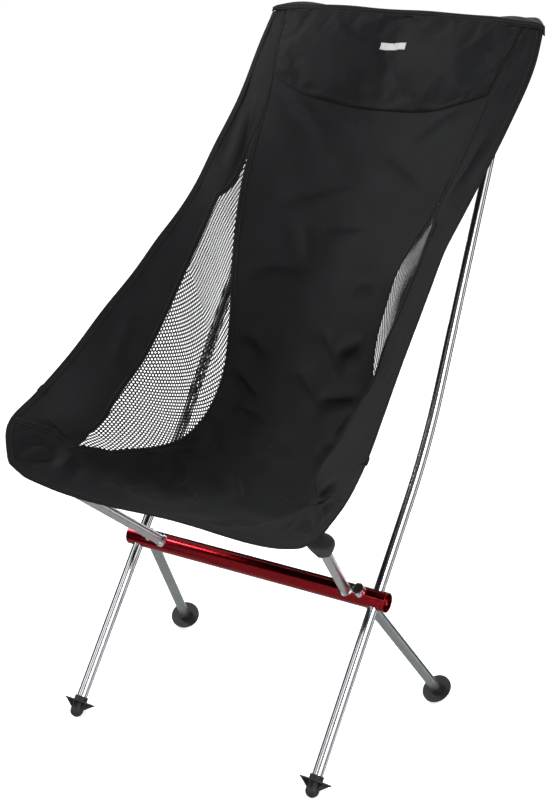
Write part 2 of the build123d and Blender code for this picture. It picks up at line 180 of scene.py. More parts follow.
def wrinkles(u, v, p):
    """Height of the soft folds of the unloaded fabric."""
    x, y, z = p[..., 0], p[..., 1] - HUB_Y, p[..., 2]
    inner = ease((3.0 - np.abs(u)) / 0.5) * ease((LAST - v) / 0.8) * ease(v / 0.35)
    cloth = 1 - 0.8 * ease((np.abs(u) - 1.0) / 0.15) * ease((2.0 - np.abs(u)) / 0.15) * (v > WINDOW_FRONT[1])
    folds = np.zeros_like(x)
    for start, end, width, depth in CREASES:
        near = np.linalg.norm(p - (start + end) / 2, axis=-1) < np.linalg.norm(end - start) * 0.5 + 5 * width
        folds[near] += crease_height(p[near], start, end, width, depth)
    for cx, cy, cz, count, size, reach in CORNER_PULLS:
        away = np.stack([np.abs(x) - cx, y - cy, z - cz], axis=-1)
        r = np.linalg.norm(away, axis=-1)
        angle = np.arctan2(away[..., 0], away[..., 1] + away[..., 2])
        folds += size * np.sin(count * angle + 1.3 * np.sign(x)) * np.exp(-r / reach) * ease(r / 0.03)
    ripple = np.sin(x / 0.021 + 1.7 * np.sin(v * 0.9) + 0.8) * bump(v, 8.2, 2.6)
    folds += 0.0007 * ripple * ease((1.1 - np.abs(u)) / 0.5)
    for kx, ky, kz, phase, size in FINE_WAVES:
        folds += size * np.sin(kx * x + ky * y + kz * z + phase)
    return folds * inner * cloth


random.seed(11)
# Each fold is a line from (u, v) to (u, v), with its half width and its height in mm before
# FOLD_WIDTH and FOLD_HEIGHT.
FOLD_LINES = [
    # lap, from the left and right seams where the back turns into the seat
    (-0.95, 6.3, -0.35, 5.1, 7, 3.6), (-0.90, 5.5, -0.10, 4.6, 8, 3.4), (-0.95, 4.9, -0.55, 3.6, 7, 3.4),
    (-0.80, 6.9, -0.45, 6.1, 6, 2.4), (-0.40, 4.4, 0.35, 3.9, 9, 2.6), (0.20, 5.3, 0.95, 6.2, 8, 3.4),
    (0.30, 6.3, 0.85, 7.1, 7, 3.0), (0.05, 6.6, 0.55, 6.0, 6, 2.6), (0.45, 4.4, 0.95, 5.2, 8, 2.8),
    (-0.15, 5.9, 0.30, 5.3, 7, 2.2), (0.75, 5.9, 0.60, 4.7, 7, 2.4), (-0.60, 4.2, -0.90, 3.0, 7, 2.8),
    # seat, towards the front hem
    (-0.95, 3.4, -0.45, 1.6, 8, 3.4), (-0.70, 2.6, -0.05, 1.1, 9, 3.0), (-0.30, 3.4, 0.10, 2.0, 8, 2.2),
    (0.30, 2.9, 0.80, 1.5, 8, 2.6), (0.85, 3.6, 0.98, 2.2, 7, 2.4), (-0.95, 1.9, -0.60, 0.7, 7, 2.4),
    (0.60, 1.3, 0.10, 0.6, 7, 2.0), (-1.35, 1.1, -1.20, 0.3, 6, 2.4), (1.30, 1.2, 1.15, 0.3, 6, 2.2),
    # back, short folds across it
    (-0.85, 7.9, -0.20, 7.6, 7, 1.6), (-0.30, 8.3, 0.35, 8.6, 7, 1.8), (-0.70, 8.9, 0.10, 9.1, 8, 1.5),
    (0.30, 7.5, 0.80, 7.9, 7, 1.5), (0.05, 9.5, 0.80, 9.3, 8, 1.5), (-0.45, 8.6, -0.30, 7.7, 6, 1.2),
    # pull lines under the headrest
    (-0.90, 10.4, -0.30, 9.4, 7, 2.0), (-0.65, 10.3, 0.00, 9.7, 7, 1.8), (0.90, 10.4, 0.35, 9.6, 7, 1.8),
    # wings: round the front corners and down to the mesh window
    (-1.75, 1.2, -2.75, 1.6, 5, 2.4), (-1.85, 1.0, -2.80, 0.9, 5, 2.2), (-1.80, 0.8, -2.60, 0.35, 5, 2.2),
    (1.75, 1.2, 2.75, 1.7, 5, 2.2), (1.85, 0.95, 2.80, 1.0, 5, 2.2), (1.70, 0.8, 2.50, 0.3, 5, 2.0),
    (-2.30, 9.9, -2.10, 8.6, 6, 1.8), (2.30, 9.9, 2.10, 8.5, 6, 1.8), (-2.6, 4.4, -2.3, 3.2, 7, 1.6),
    (2.6, 5.0, 2.35, 3.8, 7, 1.6)]
CREASES = [(plain_surface(a, b), plain_surface(c, d), FOLD_WIDTH * width * MM, FOLD_HEIGHT * depth * MM)
           for a, b, c, d, width, depth in FOLD_LINES]
# Folds that fan out from the four corners: place, number, height and reach.
CORNER_PULLS = [(0.200, -0.190, 0.345, 9, 0.0022, 0.055), (0.185, 0.350, 0.800, 8, 0.0018, 0.06)]
FINE_WAVES = [(random.uniform(-90, 90), random.uniform(-90, 90), random.uniform(-90, 90),
               random.uniform(0, 6), 0.00025) for _ in range(9)]


def surface(u, v, lift=0.0):
    """The sling with its wrinkles, lifted by a distance towards the sitter."""
    p = plain_surface(u, v)
    normal = frame_at(u, v)[2]
    return p + normal * (wrinkles(np.broadcast_to(u, p.shape[:-1]), np.broadcast_to(v, p.shape[:-1]), p)
                         + lift)[..., None]


def window_low(v):
    """The u of the mesh window's inner edge; its front tip lies out on the wing."""
    return 1 + (WINDOW_FRONT[0] - 1) * np.clip((1.75 - v) / 0.70, 0, 1)


def window_high(v):
    """The u of the mesh window's outer edge."""
    front = WINDOW_FRONT[0] + (2 - WINDOW_FRONT[0]) * np.clip((v - WINDOW_FRONT[1]) / 0.8, 0, 1)
    return np.minimum(front, 1 + np.clip((WINDOW_TOP - v) / WINDOW_TAPER, 0, 1))


# ---- Mesh building ----

def new_object(name, vertices, faces, smooth=True):
    mesh = bpy.data.meshes.new(name)
    mesh.from_pydata([tuple(p) for p in vertices], [], [tuple(f) for f in faces])
    mesh.update()
    if smooth:
        mesh.polygons.foreach_set("use_smooth", [True] * len(mesh.polygons))
    piece = bpy.data.objects.new(name, mesh)
    bpy.context.scene.collection.objects.link(piece)
    return piece


def grid_faces(rows, columns, offset=0, close=False, turn=False):
    faces = []
    for j in range(rows - 1):
        for i in range(columns if close else columns - 1):
            k = (i + 1) % columns
            quad = (offset + j * columns + i, offset + j * columns + k,
                    offset + (j + 1) * columns + k, offset + (j + 1) * columns + i)
            faces.append(quad[::-1] if turn else quad)
    return faces


def set_weave(piece, coordinates):
    """Stores flat cloth coordinates in metres as the layer that the weave follows."""
    layer = piece.data.uv_layers.new(name="weave")
    index = np.zeros(len(piece.data.loops), int)
    piece.data.loops.foreach_get("vertex_index", index)
    layer.data.foreach_set("uv", np.asarray(coordinates, float)[index].ravel())


def flat_coordinates(points):
    """Distances along the rows and columns of a grid of points."""
    down = np.linalg.norm(np.diff(points, axis=0), axis=2).mean(axis=1)
    over = np.linalg.norm(np.diff(points, axis=1), axis=2)
    s = np.concatenate([np.zeros((len(points), 1)), np.cumsum(over, axis=1)], axis=1)
    t = np.concatenate([[0], np.cumsum(down)])[:, None] + np.zeros_like(s)
    return np.stack([s - s.mean(axis=1, keepdims=True), t], axis=-1)


def shell(name, top, bottom, flat):
    """Closed shell between two grids of points, joined at their rims, and the rim's vertices."""
    rows, columns = top.shape[:2]
    count = rows * columns
    faces = grid_faces(rows, columns) + grid_faces(rows, columns, count, turn=True)
    rim = ([j * columns for j in range(rows)] + [(rows - 1) * columns + i for i in range(1, columns)]
           + [j * columns + columns - 1 for j in range(rows - 2, -1, -1)]
           + [i for i in range(columns - 2, 0, -1)])
    for a, b in zip(rim, rim[1:] + rim[:1]):
        faces.append((a, b, count + b, count + a))
    piece = new_object(name, np.concatenate([top.reshape(-1, 3), bottom.reshape(-1, 3)]), faces)
    flat = flat.reshape(-1, 2)
    set_weave(piece, np.concatenate([flat, flat]))
    return piece, rim


def cloth_sheet(name, points, normals, thickness=FABRIC):
    """Closed thin sheet over a grid of points."""
    half = normals * thickness / 2
    return shell(name, points + half, points - half, flat_coordinates(points))[0]


def panel(name, u_from, u_to, columns, rows):
    """A panel of the sling between two lines of u, from the hem to the top, and its area."""
    v = np.linspace(HEM, LAST - 0.01, rows)[:, None]
    share = np.linspace(0, 1, columns)[None, :]
    u = u_from(v) + (u_to(v) - u_from(v)) * share
    points = surface(u, v)
    return cloth_sheet(name, points, frame_at(u, v + 0 * u)[2]), area_of(points)


def swept(name, centres, sides, ups, outline):
    """Sweeps a closed outline of (side, up) offsets along a path, with closed ends."""
    rings = np.stack([centres + sides * a + ups * b for a, b in outline], axis=1)
    rows, columns = rings.shape[:2]
    faces = grid_faces(rows, columns, close=True)
    faces += [tuple(range(columns))[::-1], tuple((rows - 1) * columns + i for i in range(columns))]
    piece = new_object(name, rings.reshape(-1, 3), faces)
    t = np.concatenate([[0], np.cumsum(np.linalg.norm(np.diff(centres, axis=0), axis=1))])
    ring_lengths = np.linspace(0, 0.02, columns)
    flat = np.stack([np.broadcast_to(ring_lengths, (rows, columns)),
                     np.broadcast_to(t[:, None], (rows, columns))], axis=-1)
    set_weave(piece, flat.reshape(-1, 2))
    return piece


def soft_outline(width, height, steps):
    """Rounded flat outline, centred on zero."""
    outline = []
    for k in range(steps):
        a = 2 * math.pi * k / steps
        c, s = math.cos(a), math.sin(a)
        outline.append((math.copysign(abs(c) ** 0.55, c) * width / 2,
                        math.copysign(abs(s) ** 0.8, s) * height / 2))
    return outline


def merge(name, pieces):
    """Joins meshes into one piece, with their weave coordinates."""
    bpy.ops.object.select_all(action="DESELECT")
    for piece in pieces:
        piece.select_set(True)
    bpy.context.view_layer.objects.active = pieces[0]
    bpy.ops.object.join()
    pieces[0].name = name
    pieces[0].data.name = name
    return pieces[0]


def stitch_row(name, path, normals, pitch=0.0034, length=0.0025, radius=0.0003):
    """A row of short raised threads along a path."""
    steps = np.linalg.norm(np.diff(path, axis=0), axis=1)
    t = np.concatenate([[0], np.cumsum(steps)])
    spots = np.arange(pitch / 2, t[-1], pitch)
    centre = np.stack([np.interp(spots, t, path[:, k]) for k in range(3)], axis=-1)
    ahead = np.stack([np.interp(spots + 0.001, t, path[:, k]) for k in range(3)], axis=-1)
    up = unit(np.stack([np.interp(spots, t, normals[:, k]) for k in range(3)], axis=-1))
    along = unit(ahead - centre)
    side = np.cross(along, up)
    vertices, faces = [], []
    for c, a, n, s in zip(centre, along, up, side):
        base = len(vertices)
        vertices.append(c - a * length / 2)
        for reach in (-0.32, 0.32):
            for p, q in ((1, 0), (0, 1), (-1, 0), (0, -1)):
                vertices.append(c + a * length * reach + s * p * radius * 1.3 + n * q * radius)
        vertices.append(c + a * length / 2)
        for k in range(4):
            m = (k + 1) % 4
            faces.append((base, base + 1 + m, base + 1 + k))
            faces.append((base + 1 + k, base + 1 + m, base + 5 + m, base + 5 + k))
            faces.append((base + 9, base + 5 + k, base + 5 + m))
    return new_object(name, vertices, faces)


# ---- Materials ----

def material(name, colour, roughness, metallic=0.0):
    """A plain material, with its node tree and its shader."""
    m = bpy.data.materials.new(name)
    m.use_nodes = True
    shader = m.node_tree.nodes["Principled BSDF"]
    shader.inputs["Base Color"].default_value = (*colour, 1)
    shader.inputs["Roughness"].default_value = roughness
    shader.inputs["Metallic"].default_value = metallic
    return m, m.node_tree, shader


def node(tree, kind, **inputs):
    """A new node with some inputs set; an underscore in a name stands for a space."""
    n = tree.nodes.new(kind)
    for key, value in inputs.items():
        n.inputs[key.replace("_", " ")].default_value = value
    return n


def varied_colour(tree, shader, source, dark, light):
    """Base colour that goes from dark to light with a texture."""
    ramp = tree.nodes.new("ShaderNodeValToRGB")
    ramp.color_ramp.elements[0].color = (*dark, 1)
    ramp.color_ramp.elements[1].color = (*light, 1)
    ramp.color_ramp.elements[0].position = 0.3
    ramp.color_ramp.elements[1].position = 0.7
    tree.links.new(source, ramp.inputs["Fac"])
    tree.links.new(ramp.outputs["Color"], shader.inputs["Base Color"])


def add_bump(tree, shader, height, strength, distance, after=None):
    b = node(tree, "ShaderNodeBump", Strength=strength, Distance=distance)
    tree.links.new(height, b.inputs["Height"])
    if after is not None:
        tree.links.new(after.outputs["Normal"], b.inputs["Normal"])
    tree.links.new(b.outputs["Normal"], shader.inputs["Normal"])
    return b


def cloth_material(name, dark, light, pitch, roughness=0.72, sheen=0.04, strength=0.45):
    """Plain weave: warp and weft threads cross over each other, with slubs and a broad mottle."""
    m, tree, shader = material(name, light, roughness)
    shader.inputs["Sheen Weight"].default_value = sheen
    shader.inputs["Sheen Roughness"].default_value = 0.45
    shader.inputs["Specular IOR Level"].default_value = 0.17
    coords = tree.nodes.new("ShaderNodeUVMap")
    coords.uv_map = "weave"
    waves = []
    for direction in ("X", "Y"):
        wave = node(tree, "ShaderNodeTexWave", Scale=0.314 / pitch, Distortion=0.25, Detail=1.0)
        wave.bands_direction = direction
        tree.links.new(coords.outputs["UV"], wave.inputs["Vector"])
        waves.append(wave)
    weave = tree.nodes.new("ShaderNodeMath")
    weave.operation = "MULTIPLY"
    tree.links.new(waves[0].outputs["Fac"], weave.inputs[0])
    tree.links.new(waves[1].outputs["Fac"], weave.inputs[1])
    place = tree.nodes.new("ShaderNodeTexCoord")
    mottle = node(tree, "ShaderNodeTexNoise", Scale=38.0, Detail=6.0, Roughness=0.62)
    tree.links.new(place.outputs["Object"], mottle.inputs["Vector"])
    mix = node(tree, "ShaderNodeMix")
    mix.inputs["Factor"].default_value = 0.35
    tree.links.new(mottle.outputs["Fac"], mix.inputs["A"])
    tree.links.new(weave.outputs["Value"], mix.inputs["B"])
    varied_colour(tree, shader, mix.outputs["Result"], dark, light)
    first = add_bump(tree, shader, weave.outputs["Value"], strength, 0.0003)
    add_bump(tree, shader, mottle.outputs["Fac"], 0.25, 0.0015, after=first)
    return m


def metal_material(name, dark, light, roughness, grain, coat=0.0):
    """Drawn tube: a fine grain and faint marks in the finish."""
    m, tree, shader = material(name, light, roughness, 1.0)
    shader.inputs["Coat Weight"].default_value = coat
    shader.inputs["Coat Roughness"].default_value = 0.08
    place = tree.nodes.new("ShaderNodeTexCoord")
    marks = node(tree, "ShaderNodeTexNoise", Scale=160.0, Detail=8.0, Roughness=0.6)
    tree.links.new(place.outputs["Object"], marks.inputs["Vector"])
    varied_colour(tree, shader, marks.outputs["Fac"], dark, light)
    spread = node(tree, "ShaderNodeMapRange")
    spread.inputs["To Min"].default_value = max(roughness - grain, 0.02)
    spread.inputs["To Max"].default_value = roughness + grain
    tree.links.new(marks.outputs["Fac"], spread.inputs["Value"])
    tree.links.new(spread.outputs["Result"], shader.inputs["Roughness"])
    fine = node(tree, "ShaderNodeTexNoise", Scale=1400.0, Detail=3.0)
    tree.links.new(place.outputs["Object"], fine.inputs["Vector"])
    add_bump(tree, shader, fine.outputs["Fac"], grain * 0.5, 0.00005)
    return m


def moulded_material(name, dark, light, roughness, size):
    """Plastic or rubber with a fine grain."""
    m, tree, shader = material(name, light, roughness)
    place = tree.nodes.new("ShaderNodeTexCoord")
    grain = node(tree, "ShaderNodeTexNoise", Scale=size, Detail=8.0, Roughness=0.65)
    tree.links.new(place.outputs["Object"], grain.inputs["Vector"])
    varied_colour(tree, shader, grain.outputs["Fac"], dark, light)
    add_bump(tree, shader, grain.outputs["Fac"], 0.35, 0.0004)
    return m


MATERIALS = {
    "black_fabric": cloth_material("black_fabric", (0.0034, 0.0037, 0.0045), (0.0070, 0.0075, 0.0088),
                                   0.0009),
    "black_mesh": cloth_material("black_mesh", (0.004, 0.004, 0.0045), (0.007, 0.007, 0.008), 0.0007),
    "black_binding": cloth_material("black_binding", (0.0032, 0.0032, 0.0036), (0.0062, 0.0062, 0.007),
                                    0.0012, strength=0.9),
    "pocket_fabric": cloth_material("pocket_fabric", (0.007, 0.007, 0.008), (0.012, 0.012, 0.0135), 0.001,
                                    roughness=0.62),
    "elastic_cord": cloth_material("elastic_cord", (0.02, 0.02, 0.02), (0.05, 0.05, 0.05), 0.0008),
    "thread": moulded_material("thread", (0.007, 0.007, 0.008), (0.014, 0.014, 0.016), 0.7, 900),
    "red_anodised": metal_material("red_anodised", (0.27, 0.003, 0.008), (0.38, 0.006, 0.014), 0.15, 0.04,
                                   coat=0.3),
    "polished_tube": metal_material("polished_tube", (0.58, 0.59, 0.62), (0.72, 0.73, 0.76), 0.10, 0.04),
    "satin_tube": metal_material("satin_tube", (0.38, 0.41, 0.41), (0.47, 0.50, 0.50), 0.38, 0.06),
    # A lighter copy of the satin tube for the seat poles, which share its slot: the lighter colour is
    # painted light.
    "satin_tube_painted_lit": metal_material("satin_tube_painted_lit", (0.55, 0.56, 0.58), (0.66, 0.67, 0.69), 0.30, 0.06),
    "ferrule": metal_material("ferrule", (0.6, 0.6, 0.62), (0.72, 0.72, 0.74), 0.3, 0.06),
    "bright_socket": metal_material("bright_socket", (0.82, 0.82, 0.83), (0.93, 0.93, 0.94), 0.12, 0.05),
    "black_plastic": moulded_material("black_plastic", (0.010, 0.010, 0.011), (0.020, 0.020, 0.022), 0.42,
                                      500),
    "black_rubber": moulded_material("black_rubber", (0.005, 0.005, 0.006), (0.011, 0.011, 0.012), 0.62,
                                     420),
    "label": cloth_material("label", (0.50, 0.50, 0.50), (0.66, 0.66, 0.66), 0.0006),
}

SEAT_POLES_PAINTED_LIT = ("seat_pole_left", "seat_pole_right")  # painted light: a lighter copy of the rear legs' satin tube, though of the same slot


def finish_cad_nodes():
    """Gives each CAD node the material of its slot; the seat poles get a lighter copy of theirs instead, as
    painted light.
    """
    for part in frame["record"]["subparts"]:
        shape = frame["nodes"][part["node"]]
        shape.data.materials.clear()
        # The seat poles take the lighter copy of the satin tube: painted light.
        finish = "satin_tube_painted_lit" if part["node"] in SEAT_POLES_PAINTED_LIT else part["material_slot"]
        shape.data.materials.append(MATERIALS[finish])


def place_piece(piece, slot_name, *nodes, finish=None):
    """Parents a piece to its body, gives it the material of its slot or of its finish, and hides the CAD
    nodes it stands in for.
    """
    piece.data.materials.clear()
    piece.data.materials.append(MATERIALS[finish or slot_name])
    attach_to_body(piece, BODY)
    if nodes:
        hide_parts(*nodes)


def place_stitching(name, threads, slot_name):
    place_piece(merge(name, threads), slot_name, finish="thread")


def area_of(points):
    """Area of a grid of points, from each cell's diagonals."""
    a = np.cross(points[1:, 1:] - points[:-1, :-1], points[1:, :-1] - points[:-1, 1:])
    return float(np.linalg.norm(a, axis=2).sum() / 2)


# ---- The sling's pieces ----

def binding_step(v):
    """The step of u that is as wide as the binding."""
    edge, wall = CURVES[3](np.ravel(v)), CURVES[2](np.ravel(v))
    step = BINDING_WIDTH / np.linalg.norm(edge - wall, axis=-1)
    return np.minimum(step, 1.9).reshape(np.shape(v))


def make_panels():
    centre, area = panel("centre_panel", lambda v: -window_low(v), window_low, 170, 300)
    place_piece(centre, "black_fabric", "sling_seat_panel", "sling_back_panel")
    for name, sign in (("left", 1), ("right", -1)):
        side, area = panel(f"side_panel_{name}", lambda v: sign * (window_high(v) - 0.02),
                           lambda v: sign * (3 - binding_step(v) * 0.5), 60, 290)
        if sign < 0:
            side.data.flip_normals()
        place_piece(side, "black_fabric", f"sling_side_panel_{name}")


def window_tables():
    """Distances over the sling from its inner seam, for each v and u, and along that seam."""
    v = np.linspace(0, LAST, WINDOW_STEPS + 1)
    u = np.linspace(1, 3, 61)
    grid = plain_surface(u[None, :], v[:, None])
    across = np.concatenate([np.zeros((len(v), 1)),
                             np.cumsum(np.linalg.norm(np.diff(grid, axis=1), axis=2), axis=1)], axis=1)
    along = np.concatenate([[0], np.cumsum(np.linalg.norm(np.diff(grid[:, 10], axis=0), axis=1))])
    return v, u, across, along


def mesh_window(name, sign):
    """Knitted mesh: staggered round holes cut through a thin sheet, as real openings."""
    v_table, u_table, across, along = window_tables()
    vertices, faces, index, cells = [], [], {}, 0

    def vertex(s, t):
        key = (round(s * 1e6), round(t * 1e6))
        if key not in index:
            index[key] = len(vertices)
            vertices.append((s, t))
        return index[key]

    # A cell is a hexagon of 12 points with a round hole in it.
    angles = [math.pi / 6 * (k + 1) for k in range(12)]
    reach = (MESH_PITCH / math.sqrt(3), MESH_PITCH / 2)
    rim = [(reach[k % 2] * math.cos(a), reach[k % 2] * math.sin(a)) for k, a in enumerate(angles)]
    ring = [(MESH_HOLE * math.cos(a), MESH_HOLE * math.sin(a)) for a in angles]
    for j in range(int(along[-1] / MESH_ROW_STEP)):
        t = j * MESH_ROW_STEP
        v = float(np.interp(t, along, v_table))
        if not WINDOW_FRONT[1] - 0.05 < v < WINDOW_TOP:
            continue
        table = across[int(round(v / LAST * WINDOW_STEPS))]
        low, high = np.interp([window_low(v), window_high(v)], u_table, table)
        for i in range(int(low / MESH_PITCH) - 1, int(high / MESH_PITCH) + 2):
            s = (i + 0.5 * (j % 2)) * MESH_PITCH
            if not low - 0.4 * MESH_PITCH < s < high + 0.4 * MESH_PITCH:
                continue
            cells += 1
            outer = [vertex(s + x, t + y) for x, y in rim]
            inner = [vertex(s + x, t + y) for x, y in ring]
            for k in range(12):
                m = (k + 1) % 12
                faces.append((outer[k], outer[m], inner[m], inner[k]))
    st = np.array(vertices)
    v = np.interp(st[:, 1], along, v_table)
    rows = np.clip(np.round(v / LAST * WINDOW_STEPS).astype(int), 0, WINDOW_STEPS)
    u = np.array([np.interp(s, across[r], u_table) for s, r in zip(st[:, 0], rows)])
    u = np.where(st[:, 0] < 0, 1 + st[:, 0] / 0.06, u)
    points = surface(sign * u, v)
    piece = new_object(name, points, faces if sign > 0 else [f[::-1] for f in faces])
    set_weave(piece, st)
    solid = piece.modifiers.new("solid", "SOLIDIFY")
    solid.thickness = MESH_THREAD
    solid.offset = 0
    solid.use_even_offset = False
    apply_modifiers(piece)
    return piece, cells * MESH_PITCH * MESH_ROW_STEP


def apply_modifiers(piece):
    """Turns a piece's modifiers into plain geometry."""
    graph = bpy.context.evaluated_depsgraph_get()
    mesh = bpy.data.meshes.new_from_object(piece.evaluated_get(graph))
    old = piece.data
    piece.modifiers.clear()
    piece.data = mesh
    bpy.data.meshes.remove(old)


def make_mesh_windows():
    for name, sign in (("left", 1), ("right", -1)):
        window, area = mesh_window(f"mesh_window_{name}", sign)
        place_piece(window, "black_mesh", f"sling_mesh_window_{name}")


def strip_along(name, u, v, width, height, lift):
    """Flat tape that follows a line on the sling, with the line's points, sides and normals."""
    points = surface(u, v, lift)
    tangent = unit(np.gradient(points, axis=0))
    normal = frame_at(u, v)[2]
    side = unit(np.cross(tangent, normal))
    return swept(name, points, side, normal, soft_outline(width, height, 12)), points, side, normal


def make_seams():
    """Flat-felled seams with two rows of stitching each, on both sides of the sling."""
    tapes, threads = [], []
    inner = np.linspace(WINDOW_FRONT[1], LAST - 0.05, 460)
    outer = np.linspace(WINDOW_FRONT[1], WINDOW_TOP, 320)
    wing = np.linspace(WINDOW_FRONT[0], 2.93, 60)
    for sign in (1, -1):
        runs = [(sign * window_low(inner), inner, 0.0075), (sign * window_high(outer), outer, 0.0072),
                (sign * wing, WINDOW_FRONT[1] + 0.1 * (wing - wing[0]), 0.0075)]
        for u, v, width in runs:
            tape, points, side, normal = strip_along("tape", u, v, width, 0.0016, 0.0003)
            tapes.append(tape)
            for offset in (-0.3, 0.3):
                for face in (1, -1):
                    path = points + side * width * offset + normal * face * 0.00085
                    threads.append(stitch_row("thread", path, normal * face))
    place_piece(merge("seam_tapes", tapes), "black_binding")
    place_stitching("seam_stitching", threads, "black_binding")


def smoothed(array, reach):
    """Running mean along a path, ends kept."""
    padded = np.pad(array, ((reach, reach), (0, 0)), mode="edge")
    weight = np.ones(2 * reach + 1) / (2 * reach + 1)
    return np.stack([np.convolve(padded[:, k], weight, mode="valid") for k in range(3)], axis=1)


def boundary_path():
    """The sling's free edge from the top left corner down, along the front and up to the top right."""
    down = np.linspace(LAST - 0.02, 0.0, 300)
    front = np.linspace(3, -3, 260)[1:-1]
    u = np.concatenate([np.full(len(down), 3.0), front, np.full(len(down), -3.0)])
    v = np.concatenate([down, np.zeros(len(front)), down[::-1]])
    points = surface(u, v)
    normal = frame_at(u, v)[2]
    inward = np.cross(unit(np.gradient(points, axis=0)), normal)
    return smoothed(points, 6), unit(smoothed(inward, 4)), unit(smoothed(normal, 4))


def make_binding():
    """Folded tape round the free edges, slightly puckered by its stitching."""
    points, inward, normal = boundary_path()
    steps = np.concatenate([[0], np.cumsum(np.linalg.norm(np.diff(points, axis=0), axis=1))])
    pucker = 1 + 0.07 * np.sin(steps / 0.0021) + 0.05 * np.sin(steps / 0.0067 + 1)
    centres = points + inward * (BINDING_WIDTH * 0.42)
    tape = swept("sling_binding", centres, inward, normal * pucker[:, None],
                 soft_outline(BINDING_WIDTH, BINDING_THICK, 18))
    place_piece(tape, "black_binding", "sling_edge_binding_left", "sling_edge_binding_right",
                "sling_front_hem")
    threads = []
    for face in (1, -1):
        path = centres + inward * BINDING_WIDTH * 0.27 + normal * face * BINDING_THICK * 0.46
        threads.append(stitch_row("thread", path, normal * face))
    place_stitching("binding_stitching", threads, "black_binding")


def make_headrest():
    """Padded pocket: a closed pillow whose seams stay on the back panel, blown up as cloth."""
    a = np.linspace(-1, 1, 84)[None, :]
    b = np.linspace(0, 1, 34)[:, None]
    start = HEADREST_FROM + HEADREST_RISE * a**2
    u, v = 0.97 * a + 0 * b, start + (LAST - 0.06 - start) * b
    loft = 0.0045 * np.sin(np.pi * (0.04 + 0.92 * b)) ** 0.6 * (1 - np.abs(a) ** 6)
    back = surface(u, v, 0.0012)
    front = surface(u, v, 0.0018) + frame_at(u, v)[2] * loft[..., None]
    pillow, rim = shell("headrest_pad", front, back, flat_coordinates(front))
    blow_up(pillow, set(rim) | set(range(u.size, 2 * u.size)))
    place_piece(pillow, "black_fabric", "headrest")
    edge = [(u[0], v[0]), (u[:, 0], v[:, 0]), (u[:, -1], v[:, -1])]
    threads = []
    for line_u, line_v in edge:
        path = surface(line_u, line_v, 0.0024)
        threads.append(stitch_row("thread", path, frame_at(line_u, line_v)[2]))
    place_stitching("headrest_stitching", threads, "black_fabric")


def blow_up(piece, held):
    """Cloth simulation with a little pressure; the held vertices stay where they are."""
    group = piece.vertex_groups.new(name="held")
    group.add(sorted(held), 1.0, "REPLACE")
    cloth = piece.modifiers.new("cloth", "CLOTH")
    settings = cloth.settings
    settings.quality = 6
    settings.mass = 0.2
    settings.tension_stiffness = 25
    settings.compression_stiffness = 25
    settings.bending_stiffness = 0.6
    settings.vertex_group_mass = "held"
    settings.shrink_min = -0.035
    settings.use_pressure = True
    settings.uniform_pressure_force = 2.2
    settings.effector_weights.gravity = 0
    cloth.collision_settings.use_collision = False
    cloth.point_cache.frame_start = 1
    cloth.point_cache.frame_end = 20
    for step in range(1, 19):
        bpy.context.scene.frame_set(step)
    apply_modifiers(piece)
    bpy.context.scene.frame_set(1)


def pole_line(node_name):
    """Upper end and direction of a straight tube's centre line, from its mesh."""
    points = np.array([v.co for v in frame["nodes"][node_name].data.vertices])
    middle = points.mean(axis=0)
    axis = np.linalg.svd(points - middle, full_matrices=False)[2][0]
    axis = axis if axis[2] > 0 else -axis
    return middle + axis * ((points - middle) @ axis).max(), axis


def nearest_on_back(x, z):
    """Point of the sling's rear face at a given x and z near the top."""
    u, v = np.meshgrid(np.linspace(-2.9, 2.9, 120), np.linspace(9.5, LAST, 60))
    points = surface(u, v, -FABRIC)
    away = (points[..., 0] - x) ** 2 + (points[..., 2] - z) ** 2
    return points.reshape(-1, 3)[np.argmin(away)]


def make_yoke():
    """Top band from the headrest's top seam back over the tips of the back poles."""
    tip = pole_line("back_pole_upper_left")[0]
    a = np.linspace(-1, 1, 160)
    hem = surface(2.99 * a, LAST - 0.10 + 0 * a, 0.0022)
    front = surface(2.99 * a, LAST + 0 * a, 0.0024) + np.array([0, 0, 0.0012])
    back_x = tip[0] * YOKE_SPREAD * a
    near = np.exp(-((np.abs(back_x) - tip[0]) / 0.07) ** 2)
    ends = np.clip((np.abs(a) - 0.88) / 0.12, 0, 1) ** 2
    back = np.stack([back_x, YOKE_BACK_Y + 0.034 * near, YOKE_BACK_Z + 0.005 * near - 0.005 * ends],
                    axis=-1)
    rows = [hem, front]
    for s in np.linspace(0, 1, 18)[1:]:
        row = front + (back - front) * s
        row[:, 2] += 0.0045 * math.sin(math.pi * s) * (1 - ends) + 0.0007 * np.sin(a * 23) * 4 * s * (1 - s)
        rows.append(row)
    rows.append(back + np.array([0, 0.0015, -0.012]))
    points = np.array(rows)
    over = unit(np.gradient(points, axis=1))
    down = unit(np.gradient(points, axis=0))
    yoke = cloth_sheet("top_band", points, unit(np.cross(over, down)))
    place_piece(yoke, "black_fabric", "top_yoke")
    outward = np.tile([0, -0.8, 0.6], (len(hem), 1))
    threads = [stitch_row("thread", hem + np.array([0, -0.0005, lift]), outward)
               for lift in (0.0015, 0.0045)]
    place_stitching("top_band_stitching", threads, "black_fabric")


